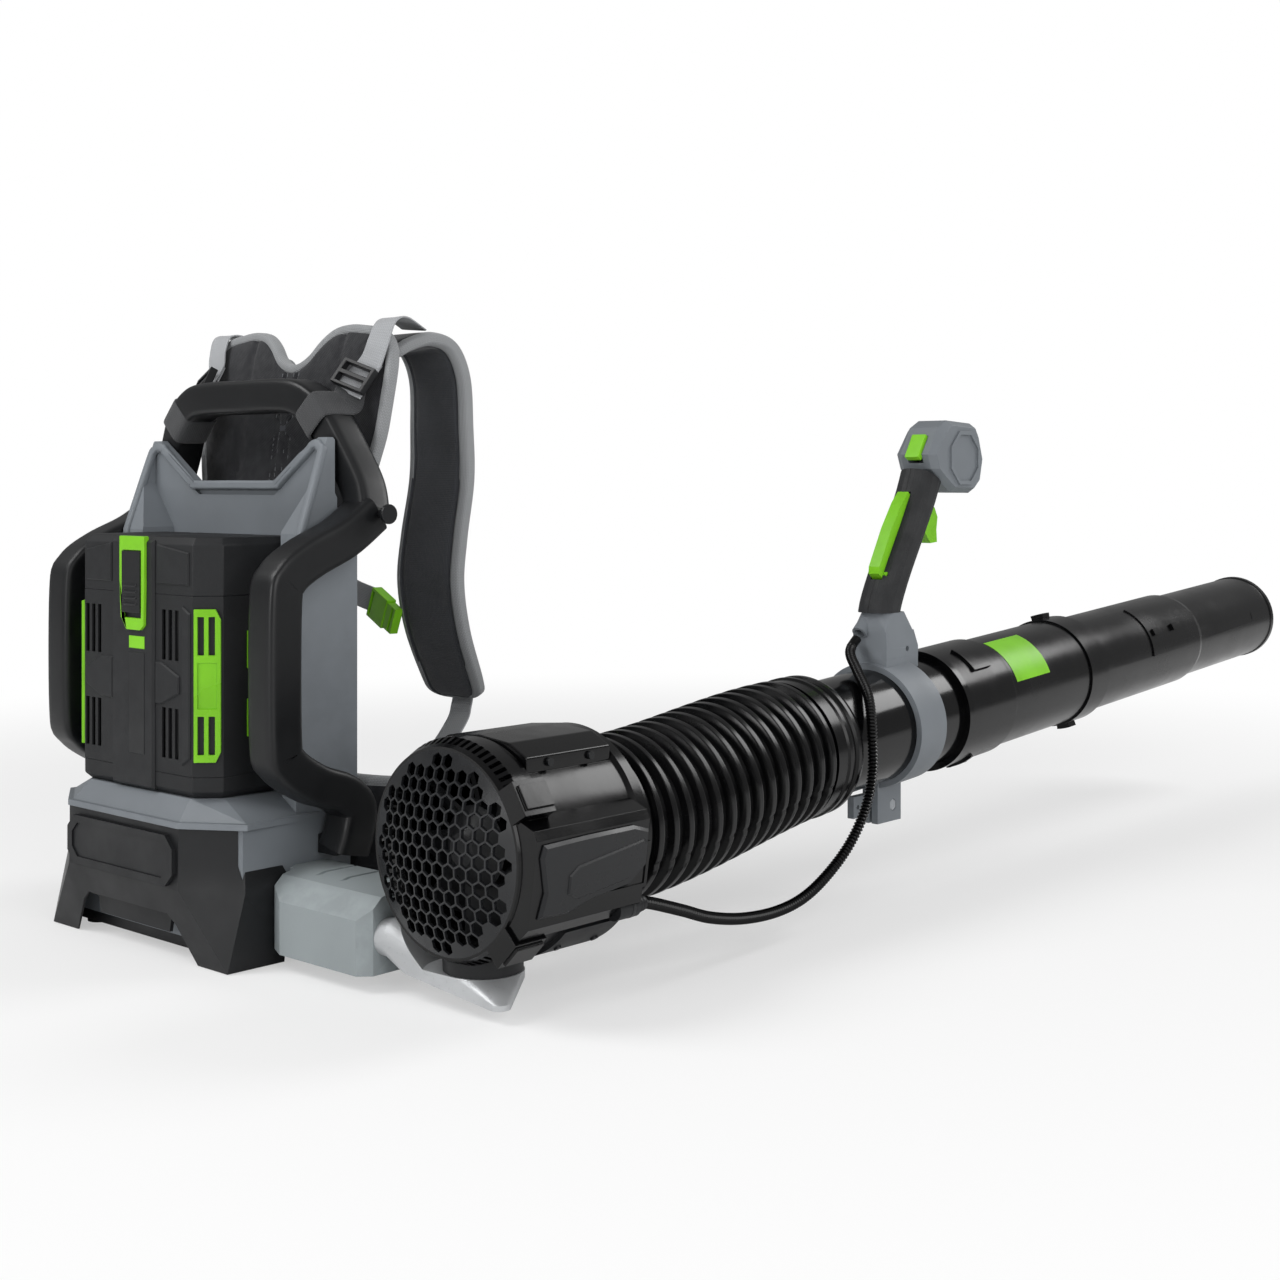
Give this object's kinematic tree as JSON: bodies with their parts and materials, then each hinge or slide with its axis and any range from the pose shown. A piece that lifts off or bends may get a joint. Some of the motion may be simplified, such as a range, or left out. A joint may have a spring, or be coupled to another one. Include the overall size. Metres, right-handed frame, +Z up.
{
  "type": "backpack leaf blower",
  "caption": "Battery backpack leaf blower: ribbed back shell with battery and harness, side-mounted fan housing, ribbed hose, and long blowing tubes with a trigger handle.",
  "frame": {"origin": "on the floor under the middle of the pack, at the underside of the base", "axes": "+X to the wearer's right, +Y forward along the blowing tubes, +Z up"},
  "size_m": [0.596, 1.3822, 0.5169],
  "materials": {
    "shell_plastic": "fine-textured cool grey",
    "arm_block_plastic": "fine-textured light grey",
    "black_plastic": "satin black",
    "rubber": "matte black",
    "battery_plastic": "fine-textured charcoal",
    "latch_plastic": "satin black",
    "green_plastic": "lime green",
    "cast_metal": "satin casting",
    "heat_sink": "extruded",
    "steel": "zinc plated",
    "cells": "sleeved metal cans",
    "gloss_black": "gloss black",
    "hose_plastic": "soft gloss black",
    "padding": "dark woven cover over foam",
    "webbing": "grey woven tape"
  },
  "bodies": {
    "pack": {"back_shell": "shell_plastic", "rear_panel": "black_plastic", "base_body": "shell_plastic", "base_shroud": "black_plastic", "bottom_plate": "black_plastic", "rubber_feet": "rubber", "battery_rails": "black_plastic", "terminal_block": "black_plastic", "motor_controller": "heat_sink", "arm_block": "arm_block_plastic", "swing_arm": "cast_metal", "arm_bolts": "steel", "carry_frame": "black_plastic", "strap_hook": "latch_plastic", "back_pad": "padding", "harness_yoke": "padding", "shoulder_pad_left": "padding", "shoulder_pad_right": "padding", "harness_webbing": "webbing", "ladder_buckles": "black_plastic", "chest_strap": "webbing", "chest_buckle_socket": "green_plastic", "chest_buckle_plug": "green_plastic", "hip_pads": "padding"},
    "battery": {"battery_case": "battery_plastic", "battery_top_cap": "battery_plastic", "battery_bottom_cap": "battery_plastic", "battery_cells": "cells", "battery_strip": "green_plastic", "battery_side_frames": "green_plastic"},
    "latch": {"battery_latch": "latch_plastic"},
    "blower": {"fan_housing": "gloss_black", "intake_ring": "gloss_black", "intake_guard": "gloss_black", "guard_latches": "black_plastic", "top_spine": "gloss_black", "side_cover": "black_plastic", "lower_cover": "black_plastic", "stator_vanes": "black_plastic", "motor_stator": "steel", "motor_bearings": "cast_metal", "housing_screws": "steel", "hose_rear_cuff": "hose_plastic", "flex_hose": "hose_plastic", "control_conduit": "hose_plastic"},
    "rotor": {"impeller": "black_plastic", "motor_rotor": "steel"},
    "handle": {"hose_front_cuff": "hose_plastic", "handle_clamp": "shell_plastic", "clamp_bolt": "steel", "handle_bracket": "shell_plastic", "grip_shells": "rubber", "grip_head": "shell_plastic"},
    "trigger": {"trigger": "green_plastic"},
    "lever": {"cruise_lever": "green_plastic"},
    "button": {"boost_button": "green_plastic"},
    "tube": {"rear_tube": "gloss_black", "middle_tube": "gloss_black"},
    "nozzle": {"front_tube": "gloss_black"}
  },
  "joints": [
    {"name": "housing_swing", "type": "hinge", "parent": "pack", "child": "blower", "pos_m": [0.331, 0.001, 0.03], "axis": [0, 0, 1], "range_deg": [-12, 30]},
    {"name": "fan_spin", "type": "hinge", "parent": "blower", "child": "rotor", "pos_m": [0.331, 0, 0.116], "axis": [0, 1, 0], "continuous": true},
    {"name": "hose_flex", "type": "hinge", "parent": "blower", "child": "handle", "pos_m": [0.331, 0.234, 0.127], "axis": [1, 0, 0], "range_deg": [-20, 15], "deforming": ["flex_hose", "control_conduit"]},
    {"name": "tube_turn", "type": "hinge", "parent": "handle", "child": "tube", "pos_m": [0.331, 0.50717, 0.15402], "axis": [0, 0.9976, 0.0698], "range_deg": [-20, 20]},
    {"name": "nozzle_extend", "type": "slide", "parent": "tube", "child": "nozzle", "axis": [0, 0.9976, 0.0698], "range_m": [-0.1, 0]},
    {"name": "trigger", "type": "hinge", "parent": "handle", "child": "trigger", "pos_m": [0.331, 0.57117, 0.35168], "axis": [1, 0, 0], "range_deg": [-14, 0], "stiffness_Nm_per_rad": 0.15, "springref_deg": 22.92},
    {"name": "cruise_lever", "type": "hinge", "parent": "handle", "child": "lever", "pos_m": [0.331, 0.50202, 0.29215], "axis": [1, 0, 0], "range_deg": [0, 20]},
    {"name": "boost_button", "type": "slide", "parent": "handle", "child": "button", "axis": [0, 0.848, -0.5299], "range_m": [0, 0.002], "stiffness_N_per_m": 600, "springref_m": -0.002},
    {"name": "battery_lift", "type": "slide", "parent": "pack", "child": "battery", "axis": [0, 0, 1], "range_m": [0, 0.16]},
    {"name": "battery_latch", "type": "slide", "parent": "battery", "child": "latch", "axis": [0, 0, 1], "range_m": [-0.004, 0], "stiffness_N_per_m": 400, "springref_m": 0.003}
  ]
}
